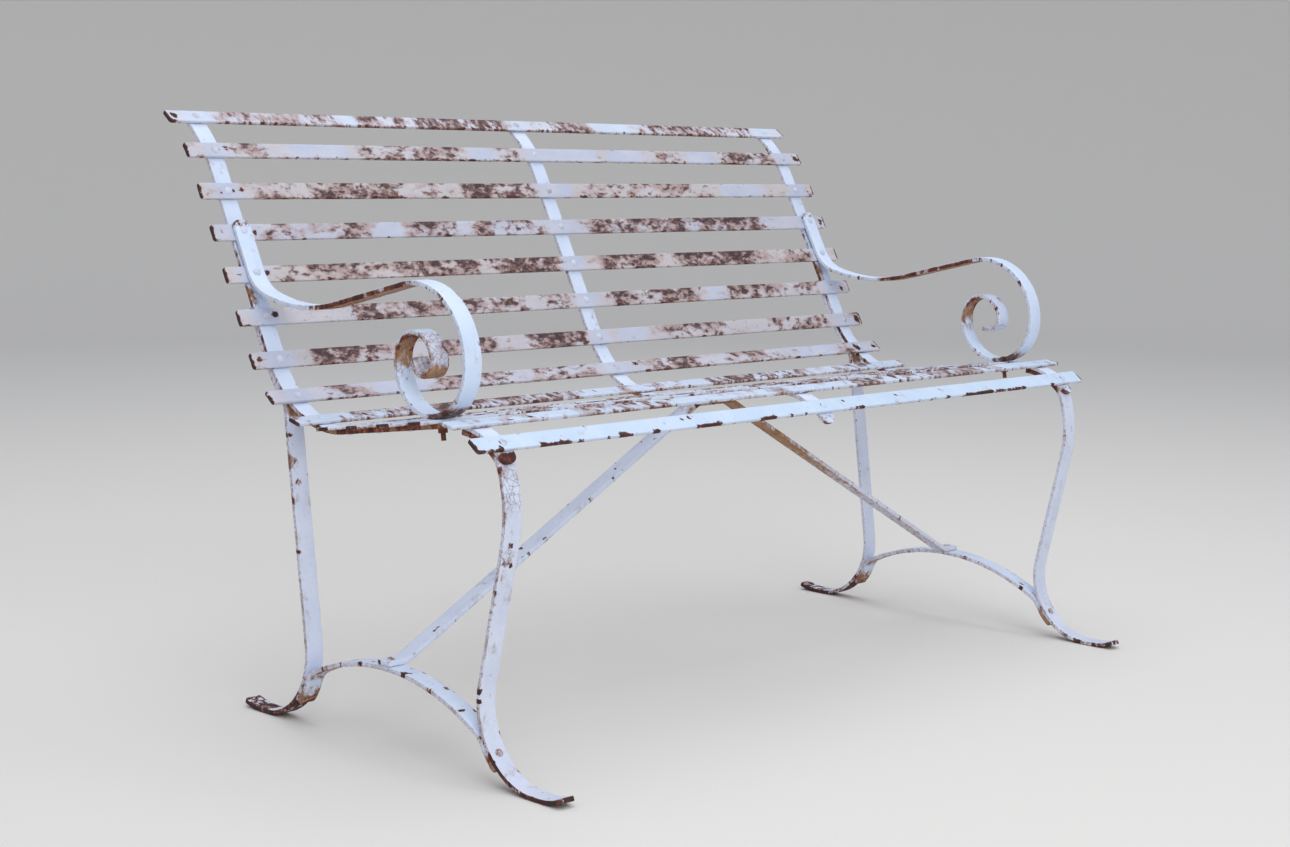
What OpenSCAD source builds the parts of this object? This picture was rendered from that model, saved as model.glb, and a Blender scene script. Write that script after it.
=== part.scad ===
// Garden bench of riveted flat iron bar: a slatted seat and back on three bent rails,
// two scrolled arms, four bent legs, two arched stretchers and one brace under the middle.
// X runs along the slats, the sitter faces -Y and Z is up. Each side profile is drawn in Y and Z.

/* [Slats] */
// Length of every slat
slat_len = 1219; // [900:1:1800]
// Width of a slat
slat_w = 23; // [18:0.5:28]
// Thickness of a slat
slat_t = 4.8; // [3:0.1:7]
// Radius of a slat's four corners
slat_corner = 4; // [2:0.5:8]
// Distance along the rail from one slat's middle to the next
slat_pitch = 60; // [54:0.5:68]
// The same distance between the two front slats, round the seat's front edge
front_pitch = 46.5; // [40:0.5:56]

/* [Straps] */
// Width of the bar that rails, arms, legs, stretchers and brace are bent from
strap_w = 25.4; // [20:0.1:32]
// Thickness of that bar
strap_t = 6.35; // [4:0.05:8]
// Film of paint left between two flat pieces
paint_gap = 0.1; // [0.05:0.05:0.3]

/* [Rails] */
// How far the slats run past the middles of the two end rails
slat_overhang = 44; // [30:0.5:80]
// Height of the rail's upper face where the seat is highest
seat_height = 420; // [380:1:480]
// Radius of the seat's front edge
crest_r = 100; // [80:1:130]
// How steeply the seat falls at its front edge, in degrees
front_drop = 41; // [34:1:48]
// Radius of the small roll at the rail's front end
lip_r = 40; // [32:1:60]
// How far that roll turns, in degrees
lip_turn = 30; // [20:1:40]
// Slope of the seat down towards the back, in degrees
seat_slope = 7.5; // [5:0.5:12]
// Length of the straight part of the seat
seat_run = 211; // [180:1:240]
// Radius between seat and back
hip_r = 150; // [130:1:180]
// Angle of the back above level, in degrees
back_angle = 62.5; // [55:0.5:70]
// Radius of the backward roll at the top
top_r = 208; // [170:1:260]
// How far the top rolls backward, in degrees
top_turn = 28.5; // [20:0.5:36]
// Rail left in front of the front slat's middle
front_tail = 29; // [24:1:34]
// How much shorter the rail's front end is than the front leg's bend under it
front_cut = 5; // [2:0.5:8]
// Rail left above the top slat's middle
top_tail = 11; // [8:0.5:16]

/* [Arms] */
// Radius where the arm leaves the back
arm_back_r = 60; // [45:1:75]
// How steeply the arm still falls after that bend, in degrees
arm_dip = 16; // [8:1:22]
// Radius of the arm's shallow low part
arm_low_r = 300; // [220:5:380]
// How steeply the arm rises to the front, in degrees
arm_rise = 13; // [8:0.5:18]
// Radius over the top of the front scroll
scroll_top_r = 92; // [80:1:104]
// Radius of the scroll's bottom, which rests on the seat
scroll_low_r = 63.5; // [54:0.5:70]
// Radius of the curl inside the scroll
scroll_curl_r = 34; // [30:0.5:40]
// Radius at the curl's end
scroll_end_r = 17; // [14:0.5:20]
// How far the left curl's end turns, in degrees
left_end_turn = 150; // [60:1:155]
// How far the right curl's end turns, in degrees
right_end_turn = 95; // [60:1:155]
// Length of the curl's straight tip
scroll_tip = 12; // [6:1:14]
// Arm left above the slat that it is fixed to
arm_tail = 15; // [12:0.5:22]

/* [Legs] */
// Rail length over which the front leg lies under the seat
front_leg_tab = 88; // [84:1:100]
// Radius of the front leg's knee
knee_r = 160; // [120:1:200]
// Slope of the front leg below its knee, in degrees
front_slope = 13; // [8:0.5:16]
// Rear leg left above the upper slat that it is riveted to
rear_leg_tail = 20; // [14:0.5:28]
// Rail length from the lowest back slat's rivet heads up to where the rear leg leaves the rail
rear_leg_gap = 9; // [8:0.5:16]
// Radius of the bend where the rear leg leaves the rail
rear_bend_r = 28; // [20:1:40]
// Slope of the rear leg, in degrees
rear_slope = 7.5; // [4:0.5:11]
// Radius of the sweep at the foot
foot_r = 93; // [80:1:105]
// Length of the flat sole
sole_len = 12; // [8:1:20]
// How far the toe turns up, in degrees
toe_turn = 22; // [12:1:30]

/* [Stretchers and brace] */
// Height of the stretcher's arch at its upper face
arch_height = 109; // [98:1:120]
// Radius of the arch
arch_r = 340; // [300:5:420]
// Radius of the bend between the arch and its end tab
arch_bend_r = 25; // [16:1:34]
// How far the end tab follows the leg, in degrees
arch_tab = 21; // [16:1:28]
// Length of the brace's flat top
brace_top_len = 60; // [44:1:90]
// Gap between the brace and the rivet heads behind it, under the seat
brace_clear = 1.2; // [0.6:0.1:8]
// Radius of the brace's bends
brace_bend_r = 18; // [12:1:28]

/* [Fasteners] */
// Diameter of a rivet or bolt
rivet_d = 6; // [5:0.1:7]
// Diameter of a rivet's head
head_d = 10.5; // [9:0.1:13]
// Height of a rivet's head
head_h = 1.5; // [1:0.1:3]
// Play between a rivet and its hole, all round
hole_play = 0.1; // [0.05:0.05:0.3]
// Width of the nuts under the arms, across flats
nut_flats = 10; // [9:0.1:12]
// Thickness of those nuts
nut_h = 5; // [4:0.1:6.5]
// Bolt end left below the nut
bolt_tail = 9; // [1:0.5:14]

/* [Hidden] */
$fn = 64;
// A rivet's shank runs this far into its heads, so that they make one solid
lap = 0.3;
// A bend's chords stay this close to its arc
smooth = 0.015;
// A cutter runs this far past the faces that it goes through
overrun = 6;
// Stretches of a route that are shorter than this are left out
least = 0.01;
NUT_SIDES = 6;
BACK_SLATS = 8;
SEAT_SLATS = 7;
LAST = BACK_SLATS + SEAT_SLATS;
ARM_UPPER = 4;
ARM_LOWER = 5;
ARM_FOOT = LAST - 2;
REAR_LEG_UPPER = 6;
REAR_LEG_LOWER = 7;
FRONT_LEG_BACK = LAST - 1;
BEHIND_BRACE = LAST - 4;
white = "#E4E6EE";
stained = "#B9A8A6";
rust = "#6B3A2C";

// A bar's route is a start pose [y, z, heading] and a list of stretches:
// [0, length] is straight, and [radius, turn] is an arc, turning left where turn is positive.
function stretch_len(g) = g[0] == 0 ? g[1] : g[0] * abs(g[1]) * PI / 180;
function route_len(route) = [for (g = route) stretch_len(g)] * [for (g = route) 1];
function move(p, side) = [p[0] - side * sin(p[2]), p[1] + side * cos(p[2]), p[2]];
function after(p, g, share = 1) =
  let(a = g[1] * share, h = p[2], r = g[0] * sign(g[1]))
  g[0] == 0
    ? [p[0] + a * cos(h), p[1] + a * sin(h), h]
    : [p[0] + r * (sin(h + a) - sin(h)), p[1] - r * (cos(h + a) - cos(h)), h + a];
function pose(p, route, count) = count == 0 ? p : after(pose(p, route, count - 1), route[count - 1]);
function walk(p, route, s, i = 0) =
  let(l = stretch_len(route[i]))
  s <= l || i == len(route) - 1 ? after(p, route[i], s / l) : walk(after(p, route[i]), route, s - l, i + 1);
// The poses at the ends of a route's straight stretches and of its bends' chords
function chords(g) = g[0] == 0 ? 1 : ceil(abs(g[1]) / (2 * acos(1 - smooth / g[0])));
function along(p, route) = concat(
  [for (i = [0 : len(route) - 1])
    let(q = pose(p, route, i), n = chords(route[i]))
    for (k = [0 : n - 1]) after(q, route[i], k / n)],
  [pose(p, route, len(route))]);
function starts(route) = [for (i = 0, s = 0; i < len(route); s = s + stretch_len(route[i]), i = i + 1) s];
// The stretches between two lengths along a route
function between(route, from, to) =
  let(s = starts(route))
  [for (i = [0 : len(route) - 1])
    let(l = stretch_len(route[i]), a = max(from, s[i]), b = min(to, s[i] + l))
    if (b - a > least) [route[i][0], route[i][1] * (b - a) / l]];
// The same stretches for a bar that lies to the right, and for one that runs the other way
function beside(route, right) = [for (g = route) g[0] == 0 ? g : [g[0] + right * sign(g[1]), g[1]]];
function backward(route) =
  [for (i = [len(route) - 1 : -1 : 0]) route[i][0] == 0 ? route[i] : [route[i][0], -route[i][1]]];
function turned(p) = [p[0], p[1], p[2] + (p[2] < 180 ? 180 : -180)];
// Where a circle about a meets a circle about b, on the left of the line from a to b
function meet(a, ra, b, rb) =
  let(d = norm(b - a), u = (b - a) / d, x = (d * d + ra * ra - rb * rb) / (2 * d))
  a + u * x + [-u[1], u[0]] * sqrt(ra * ra - x * x);
function bearing(v) = atan2(v[1], v[0]);

// Rails
rail_span = slat_len - 2 * slat_overhang;
sides = [-rail_span / 2, rail_span / 2];
function slat_s(i) = front_tail + (i == LAST ? 0 : front_pitch + (LAST - 1 - i) * slat_pitch);
hip_turn = back_angle + seat_slope;
rail_len = slat_s(1) + top_tail;
rail_bends = [[lip_r, -lip_turn], [crest_r, -front_drop - seat_slope], [0, seat_run], [hip_r, hip_turn]];
top_bend = [top_r, -top_turn];
back_run = rail_len - route_len(rail_bends) - stretch_len(top_bend);
rail_route = concat(rail_bends, [[0, back_run], top_bend]);
crest_high = [0, seat_height - strap_t / 2, 0];
crest_front = [-crest_r * sin(front_drop), crest_high[1] - crest_r * (1 - cos(front_drop)), front_drop];
rail_start = turned(after(turned(crest_front), [lip_r, lip_turn]));
function rail_pose(s) = walk(rail_start, rail_route, s);
beside_strap = strap_t + paint_gap;

// How high one pose lies over the straight line along another
function height(p, q) = (q[1] - p[1]) * cos(p[2]) - (q[0] - p[0]) * sin(p[2]);
// How far a flat piece of a width stands off the rail, or off a bar along it, where that face is hollow:
// side is the face's distance from the rail's middle line, positive towards the slats
function stand_off(s, side, width) =
  let(rises = [for (end = [-1, 1]) height(rail_pose(s), move(rail_pose(s + end * width / 2), side)) - side])
  max(0, sign(side) * rises[0], sign(side) * rises[1]);
// The same for a face of a known radius
function hollow(r, width) = r - sqrt(r * r - width * width / 4);
function slat_seat(i) = strap_t / 2 + paint_gap + stand_off(slat_s(i), strap_t / 2, slat_w);
function slat_pose(i) = move(rail_pose(slat_s(i)), slat_seat(i));

// Front legs
front_leg_start = turned(move(rail_pose(front_leg_tab), -beside_strap));
front_leg_top = backward(beside(between(rail_route, 0, front_leg_tab), beside_strap));
front_knee = [knee_r, 90 + front_slope - front_drop - lip_turn];
front_knee_end = pose(front_leg_start, concat(front_leg_top, [front_knee]), len(front_leg_top) + 1);
front_shank = (front_knee_end[1] - strap_t / 2 - foot_r * (1 + sin(front_slope))) / cos(front_slope);
front_leg_route = concat(front_leg_top,
  [front_knee, [0, front_shank], [foot_r, -90 - front_slope], [0, sole_len], [foot_r, -toe_turn]]);
front_foot_top = after(front_knee_end, [0, front_shank]);
front_foot_mid = move(front_foot_top, -foot_r);
front_toe = pose(front_leg_start, front_leg_route, len(front_leg_route));

// Rear legs
rear_leg_from = slat_s(BACK_SLATS) + head_d / 2 + rear_leg_gap;
rear_leg_to = slat_s(REAR_LEG_UPPER) + rear_leg_tail;
rear_leg_start = turned(move(rail_pose(rear_leg_to), -beside_strap));
rear_leg_top = backward(beside(between(rail_route, rear_leg_from, rear_leg_to), beside_strap));
rear_bend = [rear_bend_r, 90 - rear_slope - rail_pose(rear_leg_from)[2]];
rear_bend_end = pose(rear_leg_start, concat(rear_leg_top, [rear_bend]), len(rear_leg_top) + 1);
rear_shank = (rear_bend_end[1] - strap_t / 2 - foot_r * (1 + sin(rear_slope))) / cos(rear_slope);
rear_leg_route = concat(rear_leg_top,
  [rear_bend, [0, rear_shank], [foot_r, 90 + rear_slope], [0, sole_len], [foot_r, toe_turn]]);
rear_foot_top = after(rear_bend_end, [0, rear_shank]);
rear_foot_mid = move(rear_foot_top, foot_r);

// Arms: down the back over two slats, forward in a shallow curve, and round the front scroll
arm_lie = slat_seat(ARM_UPPER) + slat_t + paint_gap + strap_t / 2;
arm_start = turned(move(rail_pose(slat_s(ARM_UPPER) + arm_tail), arm_lie));
scroll_mid = move(slat_pose(ARM_FOOT), slat_t + paint_gap + strap_t / 2 + scroll_low_r);
scroll_top_mid = [scroll_mid[0] - scroll_low_r + scroll_top_r, scroll_mid[1]];
scroll_start = scroll_top_mid + scroll_top_r * [sin(arm_rise), cos(arm_rise)];
arm_bends = [[arm_back_r, -(back_angle - arm_dip)], [arm_low_r, -(arm_dip + arm_rise)]];
arm_bends_end = pose([0, 0, 180 + back_angle], arm_bends, 2);
// What the arm still has to cover from the back to the scroll, beside those two bends
arm_reach = scroll_start - [arm_start[0] + arm_bends_end[0], arm_start[1] + arm_bends_end[1]];
arm_cross = sin(back_angle + arm_rise);
// The two straight stretches that make up that reach, along the back and along the rise
arm_flat = (-arm_reach[1] * cos(arm_rise) - arm_reach[0] * sin(arm_rise)) / arm_cross;
arm_ramp = (arm_reach[1] * cos(back_angle) - arm_reach[0] * sin(back_angle)) / arm_cross;
arm_rest = concat([[0, arm_flat]], arm_bends, [[0, arm_ramp], [scroll_top_r, 90 + arm_rise]]);
function arm_route(end_turn) = concat(arm_rest,
  [[scroll_low_r, 180], [scroll_curl_r, 180], [scroll_end_r, end_turn], [0, scroll_tip]]);
// How far the arm's front face has come forward at the lower edge of a rivet's head
function arm_off(i) =
  let(s = arm_tail + slat_s(ARM_UPPER) - slat_s(i) + head_d / 2)
  max(0, -height(arm_start, walk(arm_start, arm_rest, s)));

// Stretchers: an arch with its top under the brace, and end tabs that lie against the feet's inner sides
brace_s = slat_s(BEHIND_BRACE) - (head_d / 2 + brace_clear + strap_w / 2) / cos(seat_slope);
brace_y = rail_pose(brace_s)[0];
tab_r = foot_r + beside_strap;
front_mid = [front_foot_mid[0], front_foot_mid[1]];
rear_mid = [rear_foot_mid[0], rear_foot_mid[1]];
arch_mid = [brace_y, arch_height - strap_t / 2 - arch_r];
// One side of the arch, for a foot in front of it: where its tab begins on the foot's sweep,
// how far the arch reaches from its top, and how far the bend between them turns, all in degrees
function arch_side(foot) =
  let(bend_mid = meet(foot, tab_r + arch_bend_r, arch_mid, arch_r - arch_bend_r),
    from = bearing(bend_mid - foot),
    reach = 90 - bearing([arch_mid[0] - bend_mid[0], bend_mid[1] - arch_mid[1]]))
  [from, reach, 90 + from - reach];
front_side = arch_side(front_mid);
rear_side = arch_side([2 * arch_mid[0] - rear_mid[0], rear_mid[1]]);
tab_end = front_side[0] - arch_tab;
stretcher_start = [front_mid[0] + tab_r * cos(tab_end), front_mid[1] + tab_r * sin(tab_end), 90 + tab_end];
stretcher_route = [[tab_r, arch_tab], [arch_bend_r, -front_side[2]], [arch_r, -front_side[1] - rear_side[1]],
  [arch_bend_r, -rear_side[2]], [tab_r, arch_tab]];

// Brace: feet on the two arches and a flat top under the middle rail, drawn in X and Z
brace_low = arch_height + paint_gap + strap_t / 2;
seat_end = rail_pose(starts(rail_route)[3]);
function rail_height(y, side) = seat_end[1] + side / cos(seat_slope) + (seat_end[0] - y) * tan(seat_slope);
brace_high = rail_height(brace_y + strap_w / 2, -strap_t / 2) - paint_gap - strap_t / 2;
// Two equal bends and the straight bar between them cover this run and this rise
brace_run = rail_span / 2 - strap_w / 2 - brace_top_len / 2;
brace_rise = brace_high - brace_low - 2 * brace_bend_r;
brace_straight = sqrt(pow(brace_run, 2) + pow(brace_rise, 2) - pow(2 * brace_bend_r, 2));
brace_slope = atan2(brace_rise, brace_run) + atan2(2 * brace_bend_r, brace_straight);
brace_up = [[0, strap_w], [brace_bend_r, brace_slope], [0, brace_straight], [brace_bend_r, -brace_slope]];
brace_down = [for (i = [len(brace_up) - 1 : -1 : 0]) brace_up[i]];
brace_route = concat(brace_up, [[0, brace_top_len]], brace_down);
brace_start = [sides[0] - strap_w / 2, brace_low, 0];

// The origin lies on the ground under the middle of the whole bench
front_most = front_toe[0] - strap_t / 2 * sin(toe_turn);
rail_end = rail_pose(rail_len);
back_most = rail_end[0] + strap_t / 2 * sin(rail_end[2]);
mid_y = (front_most + back_most) / 2;

// Fasteners: the stack of bars that a slat's rivet goes through, from the rail's middle line
hole_d = rivet_d + 2 * hole_play;
function behind_rail(i, end_rail) =
  end_rail && (i >= FRONT_LEG_BACK || i == REAR_LEG_UPPER || i == REAR_LEG_LOWER) ? beside_strap : 0;
function under_slat(i, end_rail) = -strap_t / 2 - behind_rail(i, end_rail);
function on_slat(i, end_rail) =
  end_rail && (i == ARM_UPPER || i == ARM_LOWER) ? paint_gap + strap_t + arm_off(i) : 0;
function over_slat(i, end_rail) = slat_seat(i) + slat_t + on_slat(i, end_rail);
bolt_high = slat_seat(ARM_FOOT) + slat_t + paint_gap + strap_t;
nut_high = -strap_t / 2 - paint_gap;

// A bar bent along a route: its outline goes along one face and comes back along the other
module bent_bar(start, route) {
  line = along(start, route);
  faces = concat([for (p = line) move(p, strap_t / 2)],
    [for (i = [len(line) - 1 : -1 : 0]) move(line[i], -strap_t / 2)]);
  translate([0, 0, -strap_w / 2])
    linear_extrude(strap_w) polygon([for (p = faces) [p[0], p[1]]]);
}

// Stands a side profile up: its x and y become Y and Z of the bench
module side_profile(x) {
  translate([x, -mid_y, 0]) rotate([90, 0, 90]) children();
}

// Places what is drawn along z so that z points out of the rail's slat side, at a pose
module outward(p) {
  translate([p[0], p[1], 0]) rotate([0, 0, p[2]]) rotate([-90, 0, 0]) children();
}

// A round bar along z, for a rivet's hole
module hole_along(from, to) {
  translate([0, 0, from]) cylinder(d = hole_d, h = to - from);
}

module dome(d, h) {
  r = (d * d / 4 + h * h) / (2 * h);
  intersection() {
    translate([0, h - r]) circle(r);
    square([d / 2, h]);
  }
}

// A rivet from one outer face to the other, with a low domed head at both ends
module rivet(from, to) {
  low = from - paint_gap;
  high = to + paint_gap;
  rotate_extrude() {
    translate([0, low - lap]) square([rivet_d / 2, high - low + 2 * lap]);
    translate([0, high]) dome(head_d, head_h);
    translate([0, low]) mirror([0, 1]) dome(head_d, head_h);
  }
}

module slat_holes(x, list, end_rail) {
  side_profile(x)
    for (i = list) outward(rail_pose(slat_s(i)))
      hole_along(under_slat(i, end_rail) - overrun, over_slat(i, end_rail) + overrun);
}

module slat_plate() {
  inner = [slat_len - 2 * slat_corner, slat_w - 2 * slat_corner];
  linear_extrude(slat_t) {
    square([slat_len, inner[1]], center = true);
    square([inner[0], slat_w], center = true);
    for (x = [-1, 1], y = [-1, 1]) translate([x * inner[0] / 2, y * inner[1] / 2]) circle(slat_corner);
  }
}

module slat(i) {
  color(i <= BACK_SLATS ? stained : white)
    difference() {
      side_profile(0) outward(slat_pose(i)) rotate([0, 0, 90]) slat_plate();
      for (x = concat(sides, [0])) slat_holes(x, [i], x != 0);
    }
}

module rail(x) {
  color(white)
    difference() {
      side_profile(x) bent_bar(rail_pose(front_cut), between(rail_route, front_cut, rail_len));
      slat_holes(x, [1 : LAST], x != 0);
      if (x == 0) brace_holes();
    }
}

module arm(x, end_turn) {
  color(white)
    difference() {
      side_profile(x) bent_bar(arm_start, arm_route(end_turn));
      slat_holes(x, [ARM_UPPER, ARM_LOWER], true);
      side_profile(x) outward(rail_pose(slat_s(ARM_FOOT))) hole_along(0, bolt_high + overrun);
    }
}

module front_leg(x) {
  color(white)
    difference() {
      side_profile(x) bent_bar(front_leg_start, front_leg_route);
      slat_holes(x, [FRONT_LEG_BACK, LAST], true);
      tab_holes(x);
    }
}

module rear_leg(x) {
  color(white)
    difference() {
      side_profile(x) bent_bar(rear_leg_start, rear_leg_route);
      slat_holes(x, [REAR_LEG_UPPER, REAR_LEG_LOWER], true);
      tab_holes(x);
    }
}

// The two rivets that hold a stretcher point at the middles of the foot sweeps
module at_tabs(x) {
  side_profile(x) {
    translate([front_mid[0], front_mid[1], 0])
      rotate([0, 0, front_side[0] - arch_tab / 2]) rotate([0, 90, 0]) children();
    translate([rear_mid[0], rear_mid[1], 0])
      rotate([0, 0, 180 - rear_side[0] + arch_tab / 2]) rotate([0, 90, 0]) children();
  }
}

module tab_holes(x) {
  at_tabs(x) hole_along(foot_r - strap_t / 2 - overrun, tab_r + strap_t / 2 + overrun);
}

// Stands what is drawn along z at the middle of the brace, at a place along the bench
module at_brace(x) {
  translate([x, brace_y - mid_y, 0]) children();
}

module brace_holes() {
  at_brace(0) hole_along(brace_high - strap_t / 2 - overrun, rail_height(brace_y, strap_t / 2) + overrun);
  for (x = sides) at_brace(x) hole_along(arch_height - strap_t - overrun, brace_low + strap_t / 2 + overrun);
}

module stretcher(x) {
  color(white)
    difference() {
      side_profile(x) bent_bar(stretcher_start, stretcher_route);
      tab_holes(x);
      brace_holes();
    }
}

module brace() {
  color(stained)
    difference() {
      at_brace(0) rotate([90, 0, 0]) bent_bar(brace_start, brace_route);
      brace_holes();
    }
}

module slat_rivets(x) {
  color(white)
    side_profile(x)
      for (i = [1 : LAST])
        if (x == 0 || i != ARM_FOOT) {
          low = under_slat(i, x != 0);
          outward(rail_pose(slat_s(i))) rivet(low - stand_off(slat_s(i), low, head_d), over_slat(i, x != 0));
        }
}

// The bolt down through the scroll, the slat and the rail, with its nut below
module arm_bolt(x) {
  high = bolt_high + hollow(scroll_low_r - strap_t / 2, head_d) + paint_gap;
  low = nut_high - nut_h - bolt_tail;
  color(rust)
    side_profile(x) outward(rail_pose(slat_s(ARM_FOOT)))
      rotate_extrude() {
        translate([0, low]) square([rivet_d / 2, high - low + lap]);
        translate([0, high]) dome(head_d, head_h);
      }
}

module arm_nut(x) {
  color(rust)
    side_profile(x) outward(rail_pose(slat_s(ARM_FOOT)))
      difference() {
        translate([0, 0, nut_high - nut_h])
          cylinder(d = nut_flats / cos(180 / NUT_SIDES), h = nut_h, $fn = NUT_SIDES);
        hole_along(nut_high - nut_h - overrun, nut_high + overrun);
      }
}

module stretcher_rivets(x) {
  inside = foot_r - strap_t / 2;
  color(rust) at_tabs(x) rivet(inside - hollow(inside, head_d), tab_r + strap_t / 2);
}

// The middle rivet is filed flush with the rail's upper face
module brace_rivets() {
  under_arch = arch_height - strap_t;
  color(rust) {
    for (x = sides)
      at_brace(x) rivet(under_arch - hollow(arch_r - strap_t / 2, head_d), brace_low + strap_t / 2);
    difference() {
      at_brace(0) rivet(brace_high - strap_t / 2, rail_height(brace_y, strap_t / 2) + overrun);
      side_profile(0) outward(rail_pose(brace_s))
        translate([0, 0, strap_t / 2]) cylinder(r = strap_w, h = 2 * strap_w);
    }
  }
}

back_names = [for (i = [1 : BACK_SLATS]) str("back_slat_", i)];
seat_names = [for (i = [1 : SEAT_SLATS]) str("seat_slat_", i)];

for (i = [1 : BACK_SLATS]) slat(i);
for (i = [1 : SEAT_SLATS]) slat(BACK_SLATS + i);
rail(sides[0]);  // left_rail
rail(0);  // centre_rail
rail(sides[1]);  // right_rail
arm(sides[0], left_end_turn);  // left_arm
arm(sides[1], right_end_turn);  // right_arm
front_leg(sides[0]);  // left_front_leg
front_leg(sides[1]);  // right_front_leg
rear_leg(sides[0]);  // left_rear_leg
rear_leg(sides[1]);  // right_rear_leg
stretcher(sides[0]);  // left_stretcher
stretcher(sides[1]);  // right_stretcher
brace();
slat_rivets(sides[0]);  // left_slat_rivets
slat_rivets(0);  // centre_slat_rivets
slat_rivets(sides[1]);  // right_slat_rivets
arm_bolt(sides[0]);  // left_arm_bolt
arm_bolt(sides[1]);  // right_arm_bolt
arm_nut(sides[0]);  // left_arm_nut
arm_nut(sides[1]);  // right_arm_nut
stretcher_rivets(sides[0]);  // left_stretcher_rivets
stretcher_rivets(sides[1]);  // right_stretcher_rivets
brace_rivets();
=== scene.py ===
# %% [markdown]
# A garden bench of flat iron bar: fifteen slats riveted to three bent rails, two scrolled arms,
# four legs, two arched stretchers and one brace, all under thick white paint that has chipped.
# The bench comes in as a fixed model, one object for each bar. Each bar is then rolled again as a
# fine mesh in the same place, because rounded arrises and worn paint need many small faces.

# %% Load the bench
import math
from collections import namedtuple
import bmesh
import bpy
from mathutils import Matrix, Vector, kdtree, noise


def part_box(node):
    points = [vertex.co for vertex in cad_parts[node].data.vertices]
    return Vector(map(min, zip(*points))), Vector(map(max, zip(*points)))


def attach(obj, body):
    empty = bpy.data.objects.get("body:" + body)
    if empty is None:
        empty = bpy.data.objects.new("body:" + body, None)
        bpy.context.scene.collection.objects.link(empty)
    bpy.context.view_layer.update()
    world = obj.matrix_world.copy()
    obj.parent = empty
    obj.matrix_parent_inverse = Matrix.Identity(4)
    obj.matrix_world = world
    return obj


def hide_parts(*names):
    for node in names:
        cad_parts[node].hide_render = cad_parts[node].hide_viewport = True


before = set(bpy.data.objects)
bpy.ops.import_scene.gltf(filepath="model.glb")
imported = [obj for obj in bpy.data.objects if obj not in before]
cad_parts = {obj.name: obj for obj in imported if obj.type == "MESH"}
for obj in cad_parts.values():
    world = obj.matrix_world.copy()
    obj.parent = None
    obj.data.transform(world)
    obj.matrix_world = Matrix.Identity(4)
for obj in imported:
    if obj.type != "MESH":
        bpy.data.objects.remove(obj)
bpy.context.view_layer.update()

MM = 0.001

# %% [markdown]
# The camera stands in front of the bench's left end, a little higher than the seat, and looks down
# by a few degrees. It could be pointed with a Track To constraint, but a hand-held camera also
# leans, so its pose is three turns: swing to the right, tilt down, and lean.

# %% Camera
CAMERA_PLACE = Vector((-2.0861, -1.9944, 0.7106))
CAMERA_SWING = math.radians(45.24)
CAMERA_TILT = math.radians(7.04)
CAMERA_LEAN = math.radians(0.51)
LENS_MM = 57.08
SENSOR_MM = 36.0

camera_data = bpy.data.cameras.new("camera")
camera_data.sensor_fit = "HORIZONTAL"
camera_data.sensor_width = SENSOR_MM
camera_data.lens = LENS_MM
camera = bpy.data.objects.new("camera", camera_data)
camera.matrix_world = (
    Matrix.Translation(CAMERA_PLACE)
    @ Matrix.Rotation(-CAMERA_SWING, 4, "Z")
    @ Matrix.Rotation(math.pi / 2 - CAMERA_TILT, 4, "X")
    @ Matrix.Rotation(CAMERA_LEAN, 4, "Z")
)
bpy.context.scene.collection.objects.link(camera)
bpy.context.scene.camera = camera
print("camera", tuple(round(v, 3) for v in CAMERA_PLACE), "lens", LENS_MM, "mm")

# %% [markdown]
# Colours are written as sRGB hex values, as a paint chart gives them, and Blender's sockets want
# linear light. One function turns the first into the second. A second small function adds a node to
# a material, sets it up and links its inputs, which keeps the long paint recipes readable. Others
# mix two colours, and begin and end a material.

# %% Colours and nodes
def colour(text):
    """A linear RGBA colour from an sRGB hex value such as #E6EBF5."""
    shares = [int(text[i : i + 2], 16) / 255 for i in (1, 3, 5)]
    return [c / 12.92 if c <= 0.04045 else ((c + 0.055) / 1.055) ** 2.4 for c in shares] + [1.0]


def add(tree, kind, settings, inputs):
    """A new node: settings are its properties, inputs are values or the outputs linked to its sockets."""
    node = tree.nodes.new("ShaderNode" + kind)
    for name, value in settings.items():
        setattr(node, name, value)
    for key, value in inputs.items():
        if isinstance(value, bpy.types.NodeSocket):
            tree.links.new(value, node.inputs[key])
        else:
            node.inputs[key].default_value = value
    return node


def blend(tree, share, under, over):
    """Two colours, as hex values or as outputs of nodes, mixed by a share."""
    tones = [colour(tone) if isinstance(tone, str) else tone for tone in (under, over)]
    return add(tree, "Mix", {"data_type": "RGBA"}, {0: share, 6: tones[0], 7: tones[1]}).outputs[2]


def new_material(name):
    """An empty material, its node tree, and the socket for its surface."""
    material = bpy.data.materials.new(name)
    material.use_nodes = True
    material.node_tree.nodes.clear()
    output = add(material.node_tree, "OutputMaterial", {}, {})
    return material, material.node_tree, output.inputs["Surface"]


def cover(tree, surface, skin, rough, **more):
    """Gives a material its surface: a colour, a roughness, and a bump if there is one."""
    shader = add(tree, "BsdfPrincipled", {}, {"Base Color": skin, "Roughness": rough, **more})
    tree.links.new(shader.outputs[0], surface)


print("white paint in linear light:", [round(c, 3) for c in colour("#E6EBF5")[:3]])

# %% [markdown]
# The studio is one bowl: a flat pale floor that sweeps up into a wall all round, so that no view of
# the bench shows an edge. A line from the middle to the rim is spun round once. A plane and a world
# colour would do too, but the join between them would show behind the back slats.

# %% Studio floor and wall
FLOOR_R = 6.0
SWEEP_R = 2.0
WALL_TOP = 3.0
FULL_TURN = 2 * math.pi
QUARTER = math.pi / 2
SWEEP_STEPS = 12
ROUND_STEPS = 96
PAPER_GRAIN = 3 * MM

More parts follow.
